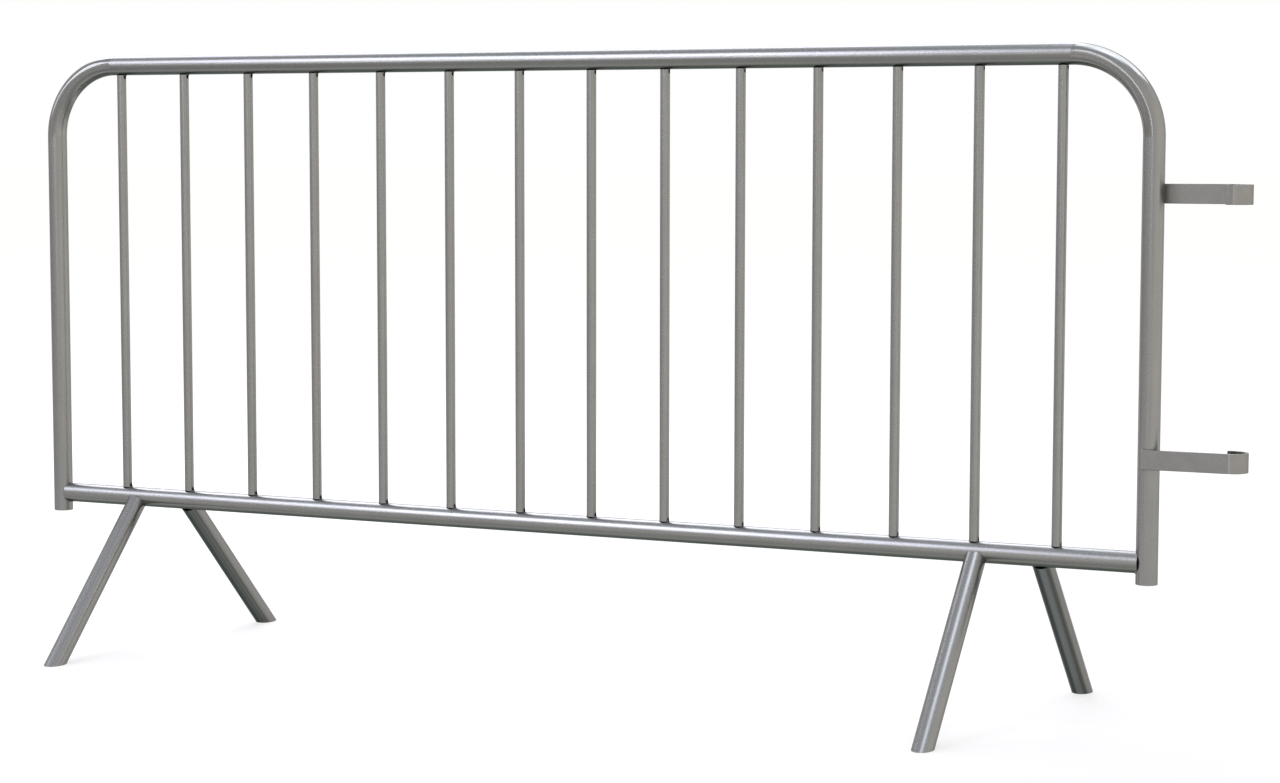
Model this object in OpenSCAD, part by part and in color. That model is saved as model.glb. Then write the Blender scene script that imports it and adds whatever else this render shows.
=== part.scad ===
// Pedestrian barrier panel: a bent tube frame filled with upright bars, standing on
// four splayed legs, with two strap hooks that catch the post of the next panel.
// X runs along the panel towards the hooks, Y from front to back and Z up.
// The origin is on the ground, under the middle of the outline.

/* [Frame] */
// Distance between the axes of the two posts
post_span = 2000; // [1600:10:2600]
// Height of the panel above the ground
panel_h = 1050; // [900:10:1250]
// Outside diameter of the frame, rail and leg tube
tube_d = 33.7; // [26.9:0.1:42.4]
// Wall of the frame, rail and leg tube
tube_wall = 2; // [1.5:0.1:3.2]
// Radius of the top corners, on the axis of the tube
corner_r = 126; // [80:1:160]
// Height of the axis of the bottom rail above the ground
rail_h = 261; // [200:1:320]
// Length of each post below the axis of the bottom rail
post_tail = 33; // [26:1:60]
// How far a square tube end reaches past the crown of the tube that it is welded to
notch = 4.9; // [3:0.1:7]
// Gap left between two pieces before they are welded
seat = 0.1; // [0.05:0.05:0.3]

/* [Bars] */
// Number of upright bars
bar_count = 14; // [8:1:20]
// Outside diameter of a bar
bar_d = 16; // [12:0.5:20]
// Wall of a bar
bar_wall = 1.2; // [1:0.1:2]
// Diameter of the vent hole near each end of a bar
vent_d = 5.5; // [3:0.5:6]
// Distance from the end of a bar to the centre of its vent hole
vent_inset = 3.5; // [3.5:0.5:10]

/* [Legs] */
// Angle of the legs from the vertical
leg_angle = 45; // [30:1:55]
// Distance from a post axis to the nearer leg
leg_inset = 166; // [100:1:300]
// Distance between the front leg and the rear leg of a pair, along the rail
leg_spacing = 102; // [60:1:200]

/* [Hooks] */
// Width of the hook strap, which stands upright
strap_w = 30; // [20:1:50]
// Thickness of the hook strap
strap_t = 5; // [3:0.5:8]
// Clear width inside the round end of a hook
hook_d = 38; // [36:0.5:50]
// Distance from the post axis to the centre of the round end
hook_out = 126; // [90:1:180]
// Length of the straight lip after the round end
hook_lip = 12; // [5:1:25]
// Length of the strap behind the line where it touches the post
strap_tail = 8; // [6:0.5:14]
// Distance from the axis of the top rail down to the middle of the upper hook
upper_hook_drop = 211; // [150:1:320]
// Distance from the axis of the bottom rail up to the middle of the lower hook
lower_hook_rise = 160; // [60:1:260]

/* [Welds] */
// Radius of the weld bead between two frame tubes
tube_bead_r = 3; // [2:0.1:4]
// Radius of the weld bead behind a bar end
bar_bead_r = 2.4; // [2:0.1:3]
// Half of the angle that a bead sweeps
bead_sweep = 36; // [20:1:44]
// Depth of the bead in the groove between a strap and the post
groove_bead = 4; // [2:0.5:5]

/* [Hidden] */
$fn = 96;
// Overshoot of a cutting body
over = 1;
tube_r = tube_d / 2;
bore_r = tube_r - tube_wall;
bar_r = bar_d / 2;
hook_r = hook_d / 2;
hook_reach = hook_out + hook_r + strap_t;
outline_l = tube_r + post_span + hook_reach;
left_x = tube_r - outline_l / 2;
right_x = left_x + post_span;
top_h = panel_h - tube_r;
post_foot_h = rail_h - post_tail;
// From the axis of a tube to the square end of the tube that is welded to it
end_offset = tube_r - notch;
bar_foot_h = rail_h + tube_r + seat;
clear_gap = (post_span - tube_d - bar_count * bar_d) / (bar_count + 1);
leg_run = rail_h / cos(leg_angle) + tube_r * tan(leg_angle) + over;
strap_face = tube_r + seat;
upper_hook_h = top_h - upper_hook_drop;
lower_hook_h = rail_h + lower_hook_rise;
steel = "#90908d";
bead_steel = "#84847f";

// Each leg: its name, its place along the rail, and its side (-1 front, 1 rear)
LEGS = [
  ["front_left_leg", left_x + leg_inset, -1],
  ["rear_left_leg", left_x + leg_inset + leg_spacing, 1],
  ["front_right_leg", right_x - leg_inset - leg_spacing, -1],
  ["rear_right_leg", right_x - leg_inset, 1]
];

// Axis of bar i, counted from the left, with equal clear gaps all along the panel
function bar_x(i) = left_x + tube_r + i * clear_gap + (i - 0.5) * bar_d;
function bar_name(i) = str("bar_", i < 10 ? "0" : "", i);
// How far x lies inside the bend of the nearer top corner
function inside_bend(x) = corner_r - min(x - left_x, right_x - x);
// Height of the underside of the frame at x, on the straight top rail or in a bend
function underside_h(x) = inside_bend(x) <= 0
  ? top_h - tube_r
  : top_h - corner_r + sqrt(pow(corner_r - tube_r, 2) - pow(inside_bend(x), 2));
function bar_head_h(i) = min(underside_h(bar_x(i) - bar_r), underside_h(bar_x(i) + bar_r)) - seat;

// A round rod along X
module x_rod(r, x0, x1) {
  translate([x0, 0, 0]) rotate([0, 90, 0]) cylinder(r = r, h = x1 - x0);
}

// The bent path of the frame as a solid of radius r, with its feet lengthened by extra
module frame_path(r, extra) {
  straight_h = top_h - corner_r - post_foot_h + extra;
  for (x = [left_x, right_x])
    translate([x, 0, post_foot_h - extra]) cylinder(r = r, h = straight_h);
  corner_bend(r, left_x + corner_r, 90);
  corner_bend(r, right_x - corner_r, 0);
  translate([0, 0, top_h]) x_rod(r, left_x + corner_r, right_x - corner_r);
}

// A quarter bend about a centre at x, starting at the given angle from +X towards +Z
module corner_bend(r, x, start) {
  translate([x, 0, top_h - corner_r]) rotate([90, 0, 0]) rotate([0, 0, start])
    rotate_extrude(angle = 90) translate([corner_r, 0]) circle(r = r);
}

// One tube bent into both posts, both top corners and the top rail, open at its feet
module frame_tube() {
  color(steel) difference() {
    frame_path(tube_r, 0);
    frame_path(bore_r, over);
  }
}

// Straight tube between the posts, its square ends notched to sit on them
module bottom_rail() {
  color(steel) translate([0, 0, rail_h]) difference() {
    x_rod(tube_r, left_x + end_offset, right_x - end_offset);
    x_rod(bore_r, left_x, right_x);
    for (x = [left_x, right_x])
      translate([x, 0, -tube_d]) cylinder(r = tube_r + seat, h = 2 * tube_d);
  }
}

// Upright bar i: square-cut tube on the crown of the rail, with a vent hole at each end
module bar(i) {
  head_h = bar_head_h(i);
  bar_l = head_h - bar_foot_h;
  color(steel) translate([bar_x(i), 0, 0]) difference() {
    translate([0, 0, bar_foot_h]) cylinder(r = bar_r, h = bar_l);
    translate([0, 0, bar_foot_h - over]) cylinder(r = bar_r - bar_wall, h = bar_l + 2 * over);
    for (h = [bar_foot_h + vent_inset, head_h - vent_inset])
      translate([0, 0, h]) x_rod(vent_d / 2, 0, bar_d);
  }
}

// Turns a shape that points along +Z from the rail axis down along a leg
module along_leg(x, side) {
  translate([x, 0, rail_h]) rotate([180 + side * leg_angle, 0, 0]) children();
}

// Straight leg: notched on the rail at its head, cut level with the ground at its foot
module leg(x, side) {
  color(steel) difference() {
    along_leg(x, side) difference() {
      translate([0, 0, end_offset]) cylinder(r = tube_r, h = leg_run - end_offset);
      cylinder(r = bore_r, h = leg_run + over);
    }
    translate([0, 0, rail_h]) x_rod(tube_r + seat, x - tube_d, x + tube_d);
    translate([x - tube_d, -2 * leg_run, -tube_d - leg_run])
      cube([2 * tube_d, 4 * leg_run, tube_d + leg_run]);
  }
}

// Puts a shape drawn for the front of the right post on its front or, mirrored, on its rear
module on_post(h, side) {
  translate([right_x, 0, h - strap_w / 2])
    if (side > 0) mirror([0, 1, 0]) children();
    else children();
}

// Flat strap on one side of the right post, bent round at its end into an open hook
module hook(h, side) {
  outer_r = hook_r + strap_t;
  color(steel) on_post(h, side) translate([0, -strap_face, 0]) {
    translate([-strap_tail, -strap_t, 0]) cube([strap_tail + hook_out, strap_t, strap_w]);
    translate([hook_out, hook_r, 0]) difference() {
      cylinder(r = outer_r, h = strap_w);
      translate([0, 0, -over]) cylinder(r = hook_r, h = strap_w + 2 * over);
      translate([-2 * outer_r, -2 * outer_r, -over]) cube([2 * outer_r, 4 * outer_r, strap_w + 2 * over]);
    }
    translate([hook_out - hook_lip, hook_d, 0]) cube([hook_lip, strap_t, strap_w]);
  }
}

// A round bead that follows an arc of radius path_r about Z, to both sides of +X
module arc_bead(path_r, r) {
  rotate([0, 0, -bead_sweep]) rotate_extrude(angle = 2 * bead_sweep)
    translate([path_r, 0]) circle(r = r);
}

// Bead in the corner of two equal tubes: the first along X, the second along +Z from it.
// Their seam lies in the plane at 45 degrees between them, and the bead is on the +X side.
module tee_bead() {
  difference() {
    translate([tube_r / 2, 0, tube_r / 2]) rotate([0, -45, 0]) arc_bead(tube_r / sqrt(2), tube_bead_r);
    x_rod(tube_r, -tube_d, 2 * tube_d);
    cylinder(r = tube_r, h = 2 * tube_d);
  }
}

// Beads at the heads of the bars, behind the panel
module bar_top_welds() {
  color(bead_steel) for (i = [1:bar_count])
    difference() {
      translate([bar_x(i), 0, bar_head_h(i)]) rotate([0, 0, 90]) arc_bead(bar_r, bar_bead_r);
      translate([bar_x(i), 0, bar_head_h(i) - bar_d]) cylinder(r = bar_r, h = bar_d);
      frame_path(tube_r, 0);
    }
}

// Beads at the feet of the bars, behind the panel
module bar_bottom_welds() {
  color(bead_steel) for (i = [1:bar_count])
    translate([bar_x(i), 0, rail_h]) difference() {
      translate([0, 0, tube_r + seat]) rotate([0, 0, 90]) arc_bead(bar_r, bar_bead_r);
      translate([0, 0, tube_r + seat]) cylinder(r = bar_r, h = bar_d);
      x_rod(tube_r, -bar_d, bar_d);
    }
}

// Beads under both ends of the bottom rail
module rail_welds() {
  color(bead_steel) translate([0, 0, rail_h]) {
    translate([left_x, 0, 0]) rotate([0, 90, 0]) tee_bead();
    translate([right_x, 0, 0]) mirror([1, 0, 0]) rotate([0, 90, 0]) tee_bead();
  }
}

// Beads at the heads of the legs, on the side away from the hooks
module leg_welds() {
  color(bead_steel) for (leg = LEGS)
    along_leg(leg[1], leg[2]) mirror([1, 0, 0]) tee_bead();
}

// Beads in the grooves to both sides of the line where a strap touches the post
module hook_welds() {
  color(bead_steel) for (place = [[upper_hook_h, 1], [lower_hook_h, -1]])
    on_post(place[0], place[1]) difference() {
      for (x = [-strap_tail, strap_tail - groove_bead])
        translate([x, -strap_face, 0]) cube([groove_bead, tube_r, strap_w]);
      translate([0, 0, -over]) cylinder(r = tube_r, h = strap_w + 2 * over);
      translate([-tube_d, -tube_r / 2, -over]) cube([2 * tube_d, tube_d, strap_w + 2 * over]);
    }
}

frame_tube();
bottom_rail();
for (i = [1:bar_count]) bar(i);
for (leg = LEGS) leg(leg[1], leg[2]);
hook(upper_hook_h, 1);  // upper_hook
hook(lower_hook_h, -1);  // lower_hook
bar_top_welds();
bar_bottom_welds();
rail_welds();
leg_welds();
hook_welds();
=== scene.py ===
import math

import bpy
import bmesh
from mathutils import Matrix, Vector


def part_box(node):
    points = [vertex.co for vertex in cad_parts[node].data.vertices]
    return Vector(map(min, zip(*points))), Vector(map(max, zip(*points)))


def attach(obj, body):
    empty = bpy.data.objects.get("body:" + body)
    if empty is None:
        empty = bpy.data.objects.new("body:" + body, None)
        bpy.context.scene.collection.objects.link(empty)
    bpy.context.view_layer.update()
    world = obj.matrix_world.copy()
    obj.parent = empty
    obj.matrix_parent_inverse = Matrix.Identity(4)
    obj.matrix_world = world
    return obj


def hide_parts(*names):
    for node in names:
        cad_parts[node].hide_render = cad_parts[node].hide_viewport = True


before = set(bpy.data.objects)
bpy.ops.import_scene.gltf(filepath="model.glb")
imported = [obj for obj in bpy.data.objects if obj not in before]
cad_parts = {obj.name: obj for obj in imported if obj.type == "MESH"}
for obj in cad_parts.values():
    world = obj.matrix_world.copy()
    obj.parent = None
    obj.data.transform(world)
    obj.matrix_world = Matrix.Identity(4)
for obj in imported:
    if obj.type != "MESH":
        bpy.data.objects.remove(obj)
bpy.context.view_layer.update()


def middle(node):
    """The middle of a node's box."""
    low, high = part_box(node)
    return (low + high) / 2


X_WAY = (1.0, 0.0, 0.0)
Y_WAY = (0.0, 1.0, 0.0)
Z_WAY = (0.0, 0.0, 1.0)
ORIGIN = (0.0, 0.0, 0.0)

# Tubes of the frame, the bottom rail and the legs, in metres, as the solids have them
TUBE_R = 0.01685
TUBE_WALL = 0.002
CORNER_R = 0.126
LEFT_POST_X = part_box("frame_tube")[0].x + TUBE_R
RIGHT_POST_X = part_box("frame_tube")[1].x - TUBE_R
TOP_RAIL_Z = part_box("frame_tube")[1].z - TUBE_R
POST_FOOT_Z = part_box("frame_tube")[0].z
BEND_Z = TOP_RAIL_Z - CORNER_R
RAIL_Z = middle("bottom_rail").z
# Each leg: its place along the rail, and the side that it leans to (-1 front, 1 rear)
LEGS = {name: (middle(name).x, -1.0 if name.startswith("front") else 1.0)
        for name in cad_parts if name.endswith("_leg")}
LEG_LEAN = math.radians(45.0)

# Bars: a row of thin tubes, with a vent hole near both ends in a rim of painted shade
BARS = sorted(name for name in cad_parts
              if name.startswith("bar_") and not name.endswith("_welds"))
BAR_R = 0.008
BAR_X = [middle(bar).x for bar in BARS]
BAR_PITCH = BAR_X[1] - BAR_X[0]
FIRST_BAR = (BAR_X[0], 0.0, 0.0)
BAR_FOOT_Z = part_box(BARS[0])[0].z
BAR_HEAD_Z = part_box(BARS[0])[1].z
VENT_INSET = 0.0035
VENT_RIM_R = 0.0036

# The hook straps: each node with its side of the right post (-1 front, 1 rear)
HOOKS = {"upper_hook": 1.0, "lower_hook": -1.0}
WELD_GAP = 0.0001
STRAP_W = 0.030
STRAP_T = 0.005
STRAP_FACE = TUBE_R + WELD_GAP
STRAP_TAIL = 0.008
HOOK_R = 0.019
HOOK_OUT = 0.126
HOOK_LIP = 0.012

# Weld beads: half of the angle that one sweeps, and its ripples
BEAD_SWEEP = math.radians(36.0)
RIPPLE_TIP = math.radians(25.0)
RIPPLE_FLATNESS = 0.48
RIPPLE_UNEVEN = 0.06
RIPPLE_WAVE = 2.3
BAR_RIPPLES = 9
BAR_RIPPLE_R = 0.0023
TUBE_RIPPLES = 19
TUBE_RIPPLE_R = 0.0021
TUBE_BEAD_INSET = 0.0006
TUBE_BEAD_R = TUBE_R - TUBE_BEAD_INSET
HOOK_RIPPLES = 27
HOOK_RIPPLE_R = 0.0011
HOOK_RIPPLE_HALF_T = 0.0008
# Where the beads of a strap lie, from the axis of the right post
GROOVE_X = 0.0068
GROOVE_Y = 0.0161

# Edges of the new pieces: how far each is rounded, and the angle in radians past which it is sharp
TUBE_EDGE = 0.0004
STRAP_EDGE = 0.0008
EDGE_SEGMENTS = 3
SHARP_ANGLE = 1.0
# How finely the new pieces are made
RING_SEGMENTS = 80
FRAME_BEND_STEPS = 48
HOOK_BEND_STEPS = 28
RIPPLE_SEGMENTS = 12
RIPPLE_RINGS = 6

# The photograph's camera, in pixels of the photograph, metres and radians
PHOTO_W = 1280
PHOTO_H = 783
FOCAL_PX = 2746.70
AXIS_PX = (597.85, 379.57)
CAMERA_AT = (1.92358, -4.10777, 0.90889)
CAMERA_YAW = 0.4357
CAMERA_PITCH = 0.0885
SENSOR_MM = 36.0
CAMERA_REACH = 200.0

# The studio all round: its colours, the spans of the way's x, y and z in which it changes,
# and how much greyer it gets on the left
WHITE = (1.0, 1.0, 1.0, 1.0)
RIGHT_TINT = (1.32, 1.28, 1.23, 1.0)
BACK_SKY = (1.18, 1.26, 1.42, 1.0)
FRONT_SKY = (0.76, 0.82, 0.92, 1.0)
TO_LEFT = (0.0, -0.8)
TO_RIGHT = (0.2, 1.0)
TO_FRONT = (0.3, -0.3)
TO_TOP = (0.3, 0.9)
OFF_BESIDE = (0.0, 0.4)
FRONT_LEFT_GREY = 0.28
BESIDE_GREY = 0.2
# Light on the object from all round
FILL_LEVEL = 0.3

# The floor: half its side, its paint, and its glow from near the object to far from it
FLOOR_HALF = 60.0
FLOOR_PAINT = (0.31, 0.30, 0.285, 1.0)
FLOOR_TINT = (1.0, 0.995, 0.985, 1.0)
FLOOR_GLOW = (0.70, 0.92)
FLOOR_GLOW_SPAN = (1.0, 5.0)
# Where the floor is greyer or brighter: spans of the way's part to the back or to the right,
# the levels across them, and the distances over which they start
BACK_WAY = (-math.sin(CAMERA_YAW), math.cos(CAMERA_YAW), 0.0)
OFF_BACK = (0.75, 0.35)
GREY_STARTS = (1.2, 2.6)
LEFT_GREY_SPAN = (-0.25, 0.0)
LEFT_GREY = (0.28, 0.0)
FAR_LEFT_GREY_SPAN = (-0.2, -1.0)
FAR_LEFT_GREY = (0.0, 0.16)
MIDDLE_GREY_SPAN = (0.0, 0.6)
MIDDLE_GREY = (0.08, 0.0)
BRIGHT_STARTS = (1.5, 4.0)
BRIGHT_SPAN = (0.1, 0.8)
BRIGHT = (0.0, 0.34)

# Zinc: its colours, how much a pattern darkens and lightens them, its roughness and its shine
TUBE_COLOUR = (0.270, 0.263, 0.243)
TUBE_MOTTLE = (0.95, 1.05)
TUBE_ROUGH = (0.25, 0.31)
LINES_ROUGH = (0.02, -0.02)
BEND_ROUGH = (0.15, 0.13)
STRAP_COLOUR = (0.242, 0.232, 0.210)
STRAP_MOTTLE = (0.92, 1.08)
STRAP_ROUGH = (0.50, 0.42)
BEAD_COLOUR = (0.245, 0.239, 0.225)
BEAD_MOTTLE = (0.85, 1.12)
BEAD_ROUGH = (0.34, 0.48)
ZINC_METAL = 0.8
BEAD_METAL = 0.75
ZINC_GLINT = 0.4
GLINT_TINT = (0.5, 0.5, 0.5, 1.0)

# Patterns of the zinc: scale, detail and, on the straps, roughness of the noise
TUBE_LINES = (480.0, 2.0)
TUBE_CLOUD = (22.0, 3.0)
TUBE_GRAIN = (1100.0, 1.0)
STRAP_CLOUD = (60.0, 4.0, 0.6)
STRAP_SAND = (850.0, 2.0)
BEAD_CLOUD = (160.0, 3.0)
BEAD_PITS = (1500.0, 2.0)
LINES_STRETCH = 0.985
LINES_SHARE = 0.6
SAND_SHARE = 0.5
# The span of a noise that is used, and a wider one
NOISE_SPAN = (0.35, 0.65)
WIDE_NOISE_SPAN = (0.3, 0.7)
# Relief of each finish: its strength and its depth in metres
TUBE_RELIEF = (0.05, 0.0004)
STRAP_RELIEF = (0.12, 0.0004)
BEAD_RELIEF = (0.25, 0.0003)

# Painted shade and painted highlight of single places, and the shade of bead pits, as shares of the
# colour
PAINTED_SHADE_TUBE = 0.05
STRAP_HIGHLIGHT = 1.4
INSIDE_STRAP_SHADE = 0.4
PIT_SHADE = 0.5
# How much of the painted highlight a strap's bend has, and of the pit shade the pits of a bead
BEND_HIGHLIGHT_COVER = 0.45
PIT_COVER = 0.7
PIT_SPAN = (0.62, 0.72)
# The painted highlight along the crease where a strap's bend starts: how far from it the highlight begins
# to fade and ends
CREASE_HIGHLIGHT = (0.0008, 0.0016)
# Widths over which a finish changes at an edge
SKIN = 0.0003
SKIN_EDGE = 0.0001
STRAP_BLEND = 0.0005
BEND_BLEND = 0.001

# Painted shade and painted reflection bands on the undersides: how much of the clean coat is left where
# the upright part of the normal is so much
STRAIGHT_BELOW = ((-0.9, 0.04), (-0.66, 0.20), (-0.57, 0.58), (-0.5, 0.74), (-0.42, 0.60),
                  (-0.34, 0.58), (-0.15, 0.72), (0.0, 1.0))
FRAME_BELOW = ((-0.9, 0.04), (-0.79, 0.16), (-0.7, 0.5), (-0.62, 0.72), (-0.55, 0.74),
               (-0.47, 0.60), (-0.38, 0.58), (-0.15, 0.72), (0.0, 1.0))
BENT_BELOW = ((-0.9, 0.05), (-0.76, 0.15), (-0.68, 0.5), (-0.6, 0.85), (-0.5, 0.50),
              (-0.42, 0.48), (-0.32, 0.66), (-0.25, 0.95), (0.0, 1.0))
# Undersides of the legs: the same painted shade and reflection bands, from their left side (-1) to their
# right (1)
LEFT_LEG_SIDES = ((0.0, 0.04), (0.4, 0.34), (0.55, 0.27), (0.68, 0.45), (0.8, 0.25),
                  (0.93, 0.85), (1.0, 1.0))
RIGHT_LEG_SIDES = ((-0.4, 0.0), (-0.2, 0.14), (0.0, 0.56), (0.35, 0.57), (0.62, 0.2),
                   (0.75, 0.33), (0.88, 0.95), (1.0, 1.0))
LEG_UNDERSIDE_SPAN = (-0.3, -0.1)
LEG_COOL_REFLECTION_SPAN = (0.45, 0.6)
# Painted underside shade and a painted cool reflection: what they make of the red, green and blue of the
# zinc
UNDERSIDE_SHADE_TINT = (0.18, 0.25, 0.21)
LEG_UNDERSIDE_SHADE_TINT = (0.09, 0.125, 0.105)
LEG_COOL_REFLECTION = (0.93, 1.01, 1.08)


def leg_way(side):
    """The way down along a leg that leans to a side."""
    return (0.0, side * math.sin(LEG_LEAN), -math.cos(LEG_LEAN))


def even_steps(count):
    """Even steps from -1 to 1."""
    return [2 * i / (count - 1) - 1 for i in range(count)]


def add_camera():
    """A camera that frames the panel as the photograph does."""
    data = bpy.data.cameras.new("photo_camera")
    data.sensor_fit = "HORIZONTAL"
    data.sensor_width = SENSOR_MM
    data.lens = FOCAL_PX / PHOTO_W * SENSOR_MM
    data.shift_x = (PHOTO_W / 2 - AXIS_PX[0]) / PHOTO_W
    data.shift_y = (AXIS_PX[1] - PHOTO_H / 2) / PHOTO_W
    data.clip_end = CAMERA_REACH
    camera = bpy.data.objects.new("photo_camera", data)
    camera.location = CAMERA_AT
    camera.rotation_euler = (math.pi / 2 - CAMERA_PITCH, 0.0, CAMERA_YAW)
    bpy.context.scene.collection.objects.link(camera)
    bpy.context.scene.camera = camera


class Nodes:
    """A node tree with short ways to add and join nodes."""

    def __init__(self, owner):
        owner.use_nodes = True
        self.tree = owner.node_tree
        self.tree.nodes.clear()

    def add(self, kind, inputs=None, **settings):
        node = self.tree.nodes.new(kind)
        for name, value in settings.items():
            setattr(node, name, value)
        for key, value in (inputs or {}).items():
            self.put(node.inputs[key], value)
        return node

    def put(self, socket, value):
        if isinstance(value, bpy.types.NodeSocket):
            self.tree.links.new(value, socket)
        else:
            socket.default_value = value

    def math(self, operation, a, b=0.0, c=0.0, clamp=False):
        node = self.add("ShaderNodeMath", {0: a, 1: b, 2: c}, operation=operation, use_clamp=clamp)
        return node.outputs[0]

    def plus(self, *terms):
        total = terms[0]
        for term in terms[1:]:
            total = self.math("ADD", total, term)
        return total

    def minus(self, a, b):
        return self.math("SUBTRACT", a, b)

    def times(self, *factors):
        product = factors[0]
        for factor in factors[1:]:
            product = self.math("MULTIPLY", product, factor)
        return product

    def blend(self, factor, a, b):
        """The value a where the factor is 0, and b where it is 1."""
        return self.plus(self.times(a, self.minus(1.0, factor)), self.times(b, factor))

    def vector(self, operation, a, b=ORIGIN):
        return self.add("ShaderNodeVectorMath", {0: a, 1: b}, operation=operation).outputs["Vector"]

    def dot(self, a, b):
        return self.add("ShaderNodeVectorMath", {0: a, 1: b}, operation="DOT_PRODUCT").outputs["Value"]

    def length(self, a):
        return self.add("ShaderNodeVectorMath", {0: a}, operation="LENGTH").outputs["Value"]

    def scaled(self, a, factor):
        node = self.add("ShaderNodeVectorMath", {0: a, "Scale": factor}, operation="SCALE")
        return node.outputs["Vector"]

    def parts(self, a):
        return self.add("ShaderNodeSeparateXYZ", {0: a}).outputs

    def joined(self, x, y, z):
        return self.add("ShaderNodeCombineXYZ", {0: x, 1: y, 2: z}).outputs[0]

    def noise(self, vector, scale, detail, roughness=0.5):
        inputs = {"Vector": vector, "Scale": scale, "Detail": detail, "Roughness": roughness}
        return self.add("ShaderNodeTexNoise", inputs).outputs["Fac"]

    def spread(self, value, low, high, to_low, to_high):
        """The value's span from low to high, spread over another span and held within it."""
        inputs = {"Value": value, "From Min": low, "From Max": high, "To Min": to_low, "To Max": to_high}
        return self.add("ShaderNodeMapRange", inputs).outputs["Result"]

    def rise(self, value, low, high):
        return self.spread(value, low, high, 0.0, 1.0)

    def fall(self, value, low, high):
        return self.spread(value, low, high, 1.0, 0.0)

    def mix(self, factor, a, b):
        """A mix of two colours, for which the node has inputs 6 and 7 and output 2."""
        return self.add("ShaderNodeMix", {0: factor, 6: a, 7: b}, data_type="RGBA").outputs[2]

    def ramp(self, value, stops):
        """A factor that follows stops of (place, factor), from low to high."""
        low, high = stops[0][0], stops[-1][0]
        node = self.add("ShaderNodeValToRGB", {0: self.rise(value, low, high)})
        marks = node.color_ramp.elements
        for place, _ in stops[1:-1]:
            marks.new((place - low) / (high - low))
        for mark, (_, factor) in zip(marks, stops):
            mark.color = (factor, factor, factor, 1.0)
        return node.outputs["Color"]

    def object_place(self):
        return self.add("ShaderNodeTexCoord").outputs["Object"]

    def normal(self):
        return self.add("ShaderNodeNewGeometry").outputs["Normal"]


def new_finish(name):
    """A new material, and its empty node tree."""
    material = bpy.data.materials.new(name)
    return material, Nodes(material)


def seen_ray(n):
    """1 for rays that show the background itself: from the camera, a reflection or a glass."""
    path = n.add("ShaderNodeLightPath")
    both = n.plus(path.outputs["Is Camera Ray"], path.outputs["Is Glossy Ray"])
    return n.math("ADD", both, path.outputs["Is Transmission Ray"], clamp=True)


def light_world():
    """A white studio: greyer to the left, warmer to the right, blue overhead and brighter at the back."""
    world = bpy.data.worlds.new("studio")
    bpy.context.scene.world = world
    n = Nodes(world)
    x, y, z = n.parts(n.add("ShaderNodeTexCoord").outputs["Generated"])
    left = n.rise(x, *TO_LEFT)
    front = n.rise(y, *TO_FRONT)
    sky = n.mix(front, BACK_SKY, FRONT_SKY)
    tint = n.mix(n.rise(z, *TO_TOP), n.mix(n.rise(x, *TO_RIGHT), WHITE, RIGHT_TINT), sky)
    beside = n.times(left, n.spread(n.math("ABSOLUTE", y), *OFF_BESIDE, BESIDE_GREY, 0.0))
    level = n.minus(1.0, n.plus(n.times(left, front, FRONT_LEFT_GREY), beside))
    seen = n.add("ShaderNodeBackground", {"Color": tint, "Strength": level})
    fill = n.add("ShaderNodeBackground", {"Color": WHITE, "Strength": FILL_LEVEL})
    both = n.add("ShaderNodeMixShader", {0: seen_ray(n), 1: fill.outputs[0], 2: seen.outputs[0]})
    n.add("ShaderNodeOutputWorld", {"Surface": both.outputs[0]})


def add_softbox(name, place, aim, size, radiance, colour, beam=180.0):
    """A lamp of an even brightness, with its light held to a beam of so many degrees."""
    data = bpy.data.lights.new(name, "AREA")
    data.shape = "RECTANGLE"
    data.size, data.size_y = size
    data.energy = radiance * math.pi * size[0] * size[1]
    data.color = colour
    data.spread = math.radians(beam)
    lamp = bpy.data.objects.new(name, data)
    lamp.location = place
    lamp.rotation_euler = (Vector(aim) - Vector(place)).to_track_quat("-Z", "Y").to_euler()
    lamp.visible_camera = False
    bpy.context.scene.collection.objects.link(lamp)


def add_lamps():
    """Softboxes in the places that the tubes of the panel mirror."""
    # In front on the left, for the highlights along both rails
    add_softbox("key_softbox", place=(-3.31, -5.0, 4.9), aim=(-3.31, 0.0, 0.9),
                size=(3.4, 3.4), radiance=7.4, colour=(0.74, 0.78, 1.0))
    add_softbox("strip_light", place=(-1.9, -3.7, 1.9), aim=(-1.9, 0.0, 0.7),
                size=(2.2, 0.55), radiance=4.2, colour=(0.80, 0.83, 1.0))
    # Far in front, for the lines in the right bend
    add_softbox("front_strip", place=(-0.4, -12.0, 4.8), aim=(-0.4, 0.0, 4.8),
                size=(1.2, 7.8), radiance=2.8, colour=(0.82, 0.84, 1.0))
    add_softbox("high_softbox", place=(-1.8, -12.0, 9.1), aim=(0.0, 0.0, 1.0),
                size=(2.0, 4.6), radiance=2.5, colour=(0.80, 0.83, 1.0))
    # On the left, for the left bend
    add_softbox("left_softbox", place=(-3.74, -1.76, 2.73), aim=(-1.97, -0.83, 1.93),
                size=(1.76, 1.5), radiance=3.8, colour=(0.78, 0.82, 1.0))
    add_softbox("low_left_softbox", place=(-3.98, -1.1, 1.68), aim=(-2.1, -0.42, 1.28),
                size=(1.37, 0.66), radiance=2.0, colour=(0.78, 0.82, 1.0))
    # Behind and above, for the upper edges of the rails and the top of the right bend
    add_softbox("back_softbox", place=(-1.76, 2.12, 3.0), aim=(-1.25, 0.83, 0.925),
                size=(3.9, 2.3), radiance=5.7, colour=(0.80, 0.84, 1.0))
    add_softbox("corner_softbox", place=(1.02, 0.20, 1.47), aim=(1.02, 0.04, 1.0),
                size=(0.63, 0.50), radiance=3.2, colour=(0.84, 0.88, 1.0))
    # High above the right legs, in a narrow beam
    add_softbox("leg_softbox", place=(1.12, -0.62, 3.1), aim=(0.62, -0.15, 0.2),
                size=(1.5, 1.2), radiance=0.22, colour=(0.78, 0.83, 1.0), beam=40.0)


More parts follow.
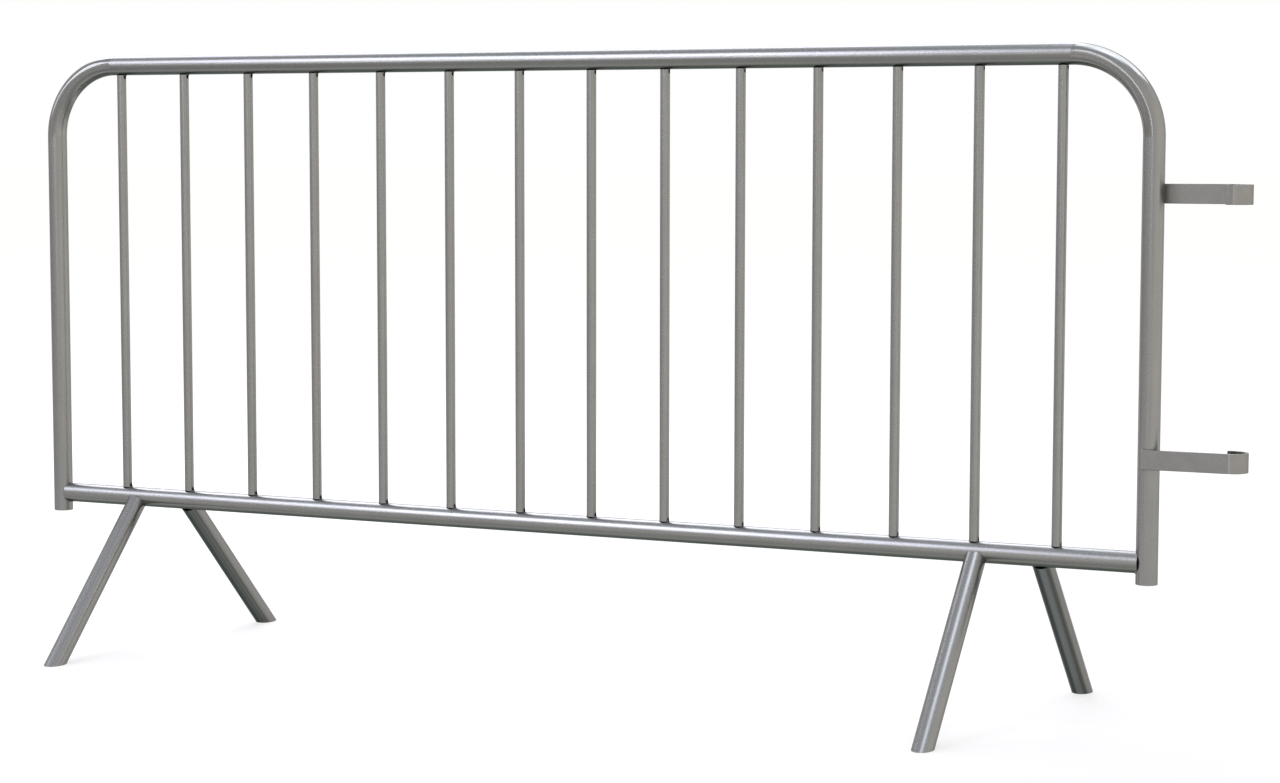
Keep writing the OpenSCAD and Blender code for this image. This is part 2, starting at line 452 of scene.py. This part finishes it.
def floor_glow(n):
    """How much the floor glows by itself: less near the object and to the left, more to the right."""
    place = n.object_place()
    away = n.length(place)
    way = n.vector("NORMALIZE", place)
    side = n.dot(way, X_WAY)
    grey = n.plus(n.spread(side, *LEFT_GREY_SPAN, *LEFT_GREY),
                  n.spread(side, *MIDDLE_GREY_SPAN, *MIDDLE_GREY),
                  n.spread(side, *FAR_LEFT_GREY_SPAN, *FAR_LEFT_GREY))
    apart = n.times(n.rise(n.dot(way, BACK_WAY), *OFF_BACK), n.rise(away, *GREY_STARTS))
    white = n.spread(away, *FLOOR_GLOW_SPAN, *FLOOR_GLOW)
    bright = n.times(n.spread(side, *BRIGHT_SPAN, *BRIGHT), n.rise(away, *BRIGHT_STARTS))
    return n.plus(n.minus(white, n.times(apart, grey)), bright)


def add_floor():
    """A pale floor that shows its white by itself and keeps the shadow of the object."""
    bm = bmesh.new()
    bmesh.ops.create_grid(bm, x_segments=1, y_segments=1, size=FLOOR_HALF)
    floor = add_mesh("studio_floor", bm)
    material, n = new_finish("studio_floor")
    strength = n.times(seen_ray(n), floor_glow(n))
    paint = n.add("ShaderNodeBsdfDiffuse", {"Color": FLOOR_PAINT})
    glow = n.add("ShaderNodeEmission", {"Color": FLOOR_TINT, "Strength": strength})
    both = n.add("ShaderNodeAddShader", {0: paint.outputs[0], 1: glow.outputs[0]})
    n.add("ShaderNodeOutputMaterial", {"Surface": both.outputs[0]})
    floor.data.materials.append(material)


def add_mesh(name, bm):
    """An object in the scene with the shape of a bmesh."""
    mesh = bpy.data.meshes.new(name)
    bm.to_mesh(mesh)
    bm.free()
    piece = bpy.data.objects.new(name, mesh)
    bpy.context.scene.collection.objects.link(piece)
    return piece


def add_piece(name, bm, node, material):
    """A finished piece that stands for a solid of the frame."""
    bmesh.ops.recalc_face_normals(bm, faces=bm.faces)
    for face in bm.faces:
        face.smooth = True
    piece = add_mesh(name, bm)
    piece.data.materials.append(material)
    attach(piece, "root")
    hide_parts(node)
    return piece


def only_faces(parts):
    """The faces among the parts that an operator gives back."""
    return [part for part in parts if isinstance(part, bmesh.types.BMFace)]


def pull(bm, faces, step):
    """Draws faces out by a step, and gives the faces at the far end."""
    ends = only_faces(bmesh.ops.extrude_face_region(bm, geom=faces)["geom"])
    bmesh.ops.translate(bm, vec=step, verts=list({vert for face in ends for vert in face.verts}))
    return ends


def bend(bm, faces, centre, axis, angle, steps):
    """Turns faces about an axis, and gives the faces at the far end."""
    turned = bmesh.ops.spin(bm, geom=faces, cent=centre, axis=axis, angle=angle, steps=steps)
    return only_faces(turned["geom_last"])


def round_edges(bm, offset):
    """Takes the sharp edges off a piece."""
    bmesh.ops.recalc_face_normals(bm, faces=bm.faces)
    edges = [edge for edge in bm.edges if edge.calc_face_angle(0.0) > SHARP_ANGLE]
    bmesh.ops.bevel(bm, geom=edges, offset=offset, offset_type="OFFSET", segments=EDGE_SEGMENTS,
                    profile=0.5, affect="EDGES", clamp_overlap=True, material=-1)


def frame_pipe(material):
    """One pipe bent into both posts, both top corners and the top rail, with clean round bends."""
    bm = bmesh.new()
    for radius in (TUBE_R, TUBE_R - TUBE_WALL):
        bmesh.ops.create_circle(bm, cap_ends=False, segments=RING_SEGMENTS, radius=radius)
    bmesh.ops.bridge_loops(bm, edges=bm.edges)
    bmesh.ops.translate(bm, vec=(LEFT_POST_X, 0.0, POST_FOOT_Z), verts=bm.verts)
    left_x = LEFT_POST_X + CORNER_R
    right_x = RIGHT_POST_X - CORNER_R
    ring = pull(bm, bm.faces[:], (0.0, 0.0, BEND_Z - POST_FOOT_Z))
    ring = bend(bm, ring, (left_x, 0.0, BEND_Z), Y_WAY, math.pi / 2, FRAME_BEND_STEPS)
    ring = pull(bm, ring, (right_x - left_x, 0.0, 0.0))
    ring = bend(bm, ring, (right_x, 0.0, BEND_Z), Y_WAY, math.pi / 2, FRAME_BEND_STEPS)
    pull(bm, ring, (0.0, 0.0, POST_FOOT_Z - BEND_Z))
    round_edges(bm, TUBE_EDGE)
    piece = add_piece("frame_pipe", bm, "frame_tube", material)
    piece.modifiers.new("even_shade", "WEIGHTED_NORMAL")


def strap_hook(node, side, material):
    """Flat strap beside the right post, bent round at its end, with slightly rounded edges."""
    height = middle(node).z
    bm = bmesh.new()
    # A square with sides of 1, drawn to the section of the strap
    bmesh.ops.create_grid(bm, x_segments=1, y_segments=1, size=0.5)
    section = Matrix.Rotation(math.pi / 2, 4, "Y") @ Matrix.Diagonal((STRAP_W, STRAP_T, 1.0, 1.0))
    start = Vector((RIGHT_POST_X - STRAP_TAIL, -STRAP_FACE - STRAP_T / 2, height))
    bmesh.ops.transform(bm, matrix=Matrix.Translation(start) @ section, verts=bm.verts)
    end = pull(bm, bm.faces[:], (STRAP_TAIL + HOOK_OUT, 0.0, 0.0))
    centre = (RIGHT_POST_X + HOOK_OUT, HOOK_R - STRAP_FACE, height)
    end = bend(bm, end, centre, Z_WAY, math.pi, HOOK_BEND_STEPS)
    pull(bm, end, (-HOOK_LIP, 0.0, 0.0))
    if side > 0:
        bmesh.ops.scale(bm, vec=(1.0, -1.0, 1.0), verts=bm.verts)
    round_edges(bm, STRAP_EDGE)
    piece = add_piece(node + "_strap", bm, node, material)
    piece.modifiers.new("even_shade", "WEIGHTED_NORMAL")


def add_ripple(bm, place, way, out, size, half_t):
    """One flat round ripple of a weld bead, tipped over its neighbour."""
    tipped = way * math.cos(RIPPLE_TIP) + out * math.sin(RIPPLE_TIP)
    turn = Vector(Z_WAY).rotation_difference(tipped).to_matrix().to_4x4()
    shape = Matrix.Translation(place) @ turn @ Matrix.Diagonal((size, size, half_t, 1.0))
    bmesh.ops.create_uvsphere(bm, u_segments=RIPPLE_SEGMENTS, v_segments=RIPPLE_RINGS, radius=1.0,
                              matrix=shape)


def add_arc_bead(bm, centre, to_middle, across, radius, size, count):
    """A row of ripples on an arc about a centre, from the way to its middle and the way across it."""
    for i, step in enumerate(even_steps(count)):
        angle = BEAD_SWEEP * step
        out = to_middle * math.cos(angle) + across * math.sin(angle)
        way = across * math.cos(angle) - to_middle * math.sin(angle)
        uneven = 1.0 + RIPPLE_UNEVEN * math.sin(RIPPLE_WAVE * i)
        add_ripple(bm, centre + out * radius, way.normalized(), out.normalized(),
                   size * uneven, size * RIPPLE_FLATNESS)


def bar_welds(node, height, material):
    """Beads behind the bar ends that stand at a height."""
    bm = bmesh.new()
    for x in BAR_X:
        add_arc_bead(bm, Vector((x, 0.0, height)), Vector(Y_WAY), Vector(X_WAY),
                     BAR_R, BAR_RIPPLE_R, BAR_RIPPLES)
    add_piece(node + "_beads", bm, node, material)


def rail_welds(material):
    """Beads under both ends of the bottom rail."""
    bm = bmesh.new()
    for x, along in ((LEFT_POST_X, 1.0), (RIGHT_POST_X, -1.0)):
        add_arc_bead(bm, Vector((x, 0.0, RAIL_Z)), Vector((along, 0.0, -1.0)), Vector(Y_WAY),
                     TUBE_BEAD_R, TUBE_RIPPLE_R, TUBE_RIPPLES)
    add_piece("rail_weld_beads", bm, "rail_welds", material)


def leg_welds(material):
    """Beads at the heads of the legs, on the side away from the hooks."""
    bm = bmesh.new()
    away = Vector((-1.0, 0.0, 0.0))
    for x, side in LEGS.values():
        down = Vector(leg_way(side))
        add_arc_bead(bm, Vector((x, 0.0, RAIL_Z)), away + down, down.cross(away),
                     TUBE_BEAD_R, TUBE_RIPPLE_R, TUBE_RIPPLES)
    add_piece("leg_weld_beads", bm, "leg_welds", material)


def hook_welds(material):
    """Upright beads in the grooves between the straps and the right post."""
    bm = bmesh.new()
    half_length = STRAP_W / 2 - 2 * HOOK_RIPPLE_R
    for node, side in HOOKS.items():
        for away in (-1.0, 1.0):
            for step in even_steps(HOOK_RIPPLES):
                place = Vector((RIGHT_POST_X + away * GROOVE_X, side * GROOVE_Y,
                                middle(node).z + half_length * step))
                add_ripple(bm, place, Vector(Z_WAY), Vector((away, 0.0, 0.0)),
                           HOOK_RIPPLE_R, HOOK_RIPPLE_HALF_T)
    add_piece("hook_weld_beads", bm, "hook_welds", material)


def tinged(colour, changes):
    """A colour with its red, green and blue changed by a factor each."""
    return [part * change for part, change in zip(colour, changes)] + [1.0]


def tinted(colour, factor):
    """A colour made darker or paler."""
    return tinged(colour, (factor, factor, factor))


def mottled(n, tone, span, colour, mottle):
    """A colour that a pattern makes a little darker or paler."""
    dark, pale = mottle
    return n.mix(n.rise(tone, *span), tinted(colour, dark), tinted(colour, pale))


def shaded_below(n, coat, colour, stops):
    """A coat with painted shade and painted reflection bands on its undersides: stops by the slope of the
    surface.
    """
    kept = n.ramp(n.parts(n.normal())[2], stops)
    return n.mix(kept, tinged(colour, UNDERSIDE_SHADE_TINT), coat)


def shaded_leg(n, coat, stops):
    """A leg's coat with painted shade and a painted cool reflection on its underside: stops from its left
    side to its right.
    """
    x, _, z = n.parts(n.normal())
    above = n.rise(z, *LEG_UNDERSIDE_SPAN)
    kept = n.math("MAXIMUM", above, n.ramp(x, stops))
    # Painted cool reflection on the underside of the leg
    cool = n.times(n.minus(1.0, above), n.fall(x, *LEG_COOL_REFLECTION_SPAN))
    coat = n.mix(cool, coat, tinged(TUBE_COLOUR, LEG_COOL_REFLECTION))
    return n.mix(kept, tinged(TUBE_COLOUR, LEG_UNDERSIDE_SHADE_TINT), coat)


def drawn_lines(n, place, along):
    """Fine lines that run with a drawn tube."""
    shrunk = n.scaled(along, n.times(n.dot(place, along), -LINES_STRETCH))
    return n.noise(n.vector("ADD", place, shrunk), *TUBE_LINES)


def off_axis(n, place, point, along, pitch=0.0):
    """Distance from the axis of a tube, or of the nearest in a row of tubes a pitch apart."""
    local = n.vector("SUBTRACT", place, point)
    if pitch:
        x, y, z = n.parts(local)
        local = n.joined(n.math("WRAP", x, pitch / 2, -pitch / 2), y, z)
    return n.length(n.vector("SUBTRACT", local, n.scaled(along, n.dot(local, along))))


def shade_under_bars(n, place):
    """1 on the places that the bar ends cover, on the facing sides of both rails, which get painted
    shade.
    """
    x, _, z = n.parts(place)
    covered = n.fall(off_axis(n, place, FIRST_BAR, Z_WAY, BAR_PITCH), BAR_R, BAR_R + SKIN)
    across = n.math("COMPARE", x, (BAR_X[0] + BAR_X[-1]) / 2, (BAR_X[-1] - BAR_X[0]) / 2 + BAR_R)
    between = n.math("COMPARE", z, (RAIL_Z + TOP_RAIL_Z) / 2, (TOP_RAIL_Z - RAIL_Z) / 2)
    return n.times(covered, across, between)


def vent_rim_shade(n, place):
    """1 on the rims of the vent holes, on the right of each bar near both ends, which get painted shade
    so that the holes look larger.
    """
    x, y, z = n.parts(n.vector("SUBTRACT", place, FIRST_BAR))
    right = n.math("GREATER_THAN", n.math("WRAP", x, BAR_PITCH / 2, -BAR_PITCH / 2), 0.0)
    low, high = (n.length(n.joined(0.0, y, n.minus(z, centre)))
                 for centre in (BAR_FOOT_Z + VENT_INSET, BAR_HEAD_Z - VENT_INSET))
    near = n.math("MINIMUM", low, high)
    return n.times(right, n.fall(near, VENT_RIM_R - SKIN, VENT_RIM_R))


def bend_parts(n, place):
    """1 on the two bends of the frame, and 1 on its top rail."""
    x, _, z = n.parts(place)
    side = n.math("ABSOLUTE", n.minus(x, (LEFT_POST_X + RIGHT_POST_X) / 2))
    straight = (RIGHT_POST_X - LEFT_POST_X) / 2 - CORNER_R
    outside = n.rise(side, straight - BEND_BLEND, straight + BEND_BLEND)
    above = n.rise(z, BEND_Z - BEND_BLEND, BEND_Z + BEND_BLEND)
    bent = n.times(outside, above)
    return bent, n.minus(above, bent)


def add_zinc(n, shade, metal, glint, rough, height, relief):
    """The surface of a zinc finish, with its fine relief, as the end of a material."""
    strength, depth = relief
    bump = n.add("ShaderNodeBump", {"Height": height, "Strength": strength, "Distance": depth})
    surface = n.add("ShaderNodeBsdfPrincipled", {
        "Base Color": shade, "Metallic": metal, "Roughness": rough, "Specular IOR Level": glint,
        "Specular Tint": GLINT_TINT, "Normal": bump.outputs[0]})
    n.add("ShaderNodeOutputMaterial", {"Surface": surface.outputs[0]})


def tube_zinc(name, along, point, radius, pitch=0.0, bends=False, shaded_places=None,
              below=STRAIGHT_BELOW, leg_sides=None):
    """Satin zinc on a drawn tube: faint lines along it, fine sparkle, painted shade and reflection bands
    on the undersides, painted shade in the bores.

    The tube runs along a way through a point, or stands in a row of tubes a pitch apart.
    With bends, the top corners have the smooth zinc of the outside of a bend.
    A function gives the other places of painted shade, such as those that the bar ends cover.
    The underside gets painted shade and reflection bands by its slope, or on a leg from its left side to
    its right.
    """
    material, n = new_finish(name)
    place = n.object_place()
    cloud = n.noise(place, *TUBE_CLOUD)
    grain = n.noise(place, *TUBE_GRAIN)
    lines = drawn_lines(n, place, along)
    if bends:
        bent, top = bend_parts(n, place)
        lines = n.blend(top, lines, drawn_lines(n, place, X_WAY))
    tone = n.plus(n.times(lines, LINES_SHARE), n.times(cloud, 1.0 - LINES_SHARE))
    coat = mottled(n, tone, NOISE_SPAN, TUBE_COLOUR, TUBE_MOTTLE)
    # Painted shade and painted reflection bands on the undersides
    if leg_sides:
        shade = shaded_leg(n, coat, leg_sides)
    else:
        shade = shaded_below(n, coat, TUBE_COLOUR, below)
    satin = n.plus(n.spread(tone, *NOISE_SPAN, *LINES_ROUGH),
                   n.spread(grain, *WIDE_NOISE_SPAN, *TUBE_ROUGH))
    sparkle, depth = TUBE_RELIEF
    dark = shaded_places(n, place) if shaded_places else 0.0
    if bends:
        satin = n.blend(bent, satin, n.spread(cloud, *WIDE_NOISE_SPAN, *BEND_ROUGH))
        sparkle = n.spread(bent, 0.0, 1.0, sparkle, 0.0)
        # The bends get their own painted reflection bands on the undersides
        shade = n.mix(bent, shade, shaded_below(n, coat, TUBE_COLOUR, BENT_BELOW))
    else:
        from_axis = off_axis(n, place, point, along, pitch)
        # Painted shade inside the bore of the tube
        bore_shade = n.fall(from_axis, radius - SKIN, radius - SKIN + SKIN_EDGE)
        dark = n.math("MAXIMUM", bore_shade, dark)
    # Painted shade on the dark places: near black, with no metal and no glint
    shade = n.mix(dark, shade, tinted(TUBE_COLOUR, PAINTED_SHADE_TUBE))
    metal = n.spread(dark, 0.0, 1.0, ZINC_METAL, 0.0)
    glint = n.spread(dark, 0.0, 1.0, ZINC_GLINT, 0.0)
    add_zinc(n, shade, metal, glint, satin, grain, (sparkle, depth))
    return material


def inside_hook(n, past_bend, y, side):
    """1 on the inner face of a hook, along its bend and its lip, which gets painted shade."""
    off_middle = n.plus(y, side * (HOOK_R - STRAP_FACE))
    reach = n.length(n.joined(n.math("MAXIMUM", past_bend, 0.0), off_middle, 0.0))
    within = n.fall(reach, HOOK_R + SKIN, HOOK_R + SKIN + 2 * SKIN_EDGE)
    return n.times(within, n.math("GREATER_THAN", past_bend, -HOOK_LIP - STRAP_BLEND))


def strap_zinc(node, side):
    """Matt, sandy zinc on a hook strap, with a painted highlight where the strap is bent and painted
    shade inside the hook.
    """
    material, n = new_finish(node + "_zinc")
    place = n.object_place()
    x, y, _ = n.parts(place)
    cloud = n.noise(place, *STRAP_CLOUD)
    sand = n.noise(place, *STRAP_SAND)
    tone = n.plus(n.times(cloud, 1.0 - SAND_SHARE), n.times(sand, SAND_SHARE))
    shade = mottled(n, tone, NOISE_SPAN, STRAP_COLOUR, STRAP_MOTTLE)
    past_bend = n.minus(x, RIGHT_POST_X + HOOK_OUT)
    # Painted highlight along the strap's bend and on the crease where it starts
    bent = n.spread(past_bend, -STRAP_BLEND, STRAP_BLEND, 0.0, BEND_HIGHLIGHT_COVER)
    crease_highlight = n.fall(n.math("ABSOLUTE", past_bend), *CREASE_HIGHLIGHT)
    shade = n.mix(n.math("MAXIMUM", bent, crease_highlight), shade, tinted(STRAP_COLOUR, STRAP_HIGHLIGHT))
    # Painted shade on the inner face of the hook
    inside = inside_hook(n, past_bend, y, side)
    shade = n.mix(inside, shade, tinted(STRAP_COLOUR, INSIDE_STRAP_SHADE))
    # Painted shade and reflection bands on the strap's underside
    shade = shaded_below(n, shade, STRAP_COLOUR, STRAIGHT_BELOW)
    matt = n.spread(tone, *NOISE_SPAN, *STRAP_ROUGH)
    add_zinc(n, shade, ZINC_METAL, ZINC_GLINT, matt, sand, STRAP_RELIEF)
    return material


def bead_zinc():
    """Rough zinc over a weld bead, with small pits."""
    material, n = new_finish("bead_zinc")
    place = n.object_place()
    cloud = n.noise(place, *BEAD_CLOUD)
    pits = n.noise(place, *BEAD_PITS)
    shade = mottled(n, cloud, WIDE_NOISE_SPAN, BEAD_COLOUR, BEAD_MOTTLE)
    shade = n.mix(n.spread(pits, *PIT_SPAN, 0.0, PIT_COVER), shade, tinted(BEAD_COLOUR, PIT_SHADE))
    # Painted shade and reflection bands on the bead's underside
    shade = shaded_below(n, shade, BEAD_COLOUR, STRAIGHT_BELOW)
    rough = n.spread(cloud, *WIDE_NOISE_SPAN, *BEAD_ROUGH)
    add_zinc(n, shade, BEAD_METAL, ZINC_GLINT, rough, pits, BEAD_RELIEF)
    return material


def dress(nodes, material):
    """Gives solids of the frame a finish."""
    for name in nodes:
        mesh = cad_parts[name].data
        mesh.materials.clear()
        mesh.materials.append(material)


def finish_frame():
    """The bent frame pipe in place of its solid."""
    # Painted shade under the bar heads on the top rail
    coat = tube_zinc("frame_zinc", Z_WAY, ORIGIN, TUBE_R, bends=True, shaded_places=shade_under_bars,
                     below=FRAME_BELOW)
    dress(["frame_tube"], coat)
    frame_pipe(coat)


def finish_straight_tubes():
    """The bottom rail, the bars and the legs, which keep their solids."""
    # Painted shade under the bar feet on the bottom rail
    dress(["bottom_rail"], tube_zinc("rail_zinc", X_WAY, (0.0, 0.0, RAIL_Z), TUBE_R,
                                     shaded_places=shade_under_bars))
    # Painted shade on the vent rims of the bars
    dress(BARS, tube_zinc("bar_zinc", Z_WAY, FIRST_BAR, BAR_R, pitch=BAR_PITCH, shaded_places=vent_rim_shade))
    for leg, (x, side) in LEGS.items():
        sides = LEFT_LEG_SIDES if "left" in leg else RIGHT_LEG_SIDES
        dress([leg], tube_zinc(leg + "_zinc", leg_way(side), (x, 0.0, RAIL_Z), TUBE_R, leg_sides=sides))


def finish_hooks():
    """The hook straps in place of their solids."""
    for hook, side in HOOKS.items():
        coat = strap_zinc(hook, side)
        dress([hook], coat)
        strap_hook(hook, side, coat)


def finish_welds():
    """The rippled weld beads in place of their solids."""
    coat = bead_zinc()
    dress([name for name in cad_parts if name.endswith("_welds")], coat)
    bar_welds("bar_top_welds", BAR_HEAD_Z, coat)
    bar_welds("bar_bottom_welds", BAR_FOOT_Z, coat)
    rail_welds(coat)
    leg_welds(coat)
    hook_welds(coat)


bpy.context.scene.view_settings.view_transform = "Standard"
add_camera()
light_world()
add_floor()
add_lamps()
finish_frame()
finish_straight_tubes()
finish_hooks()
finish_welds()
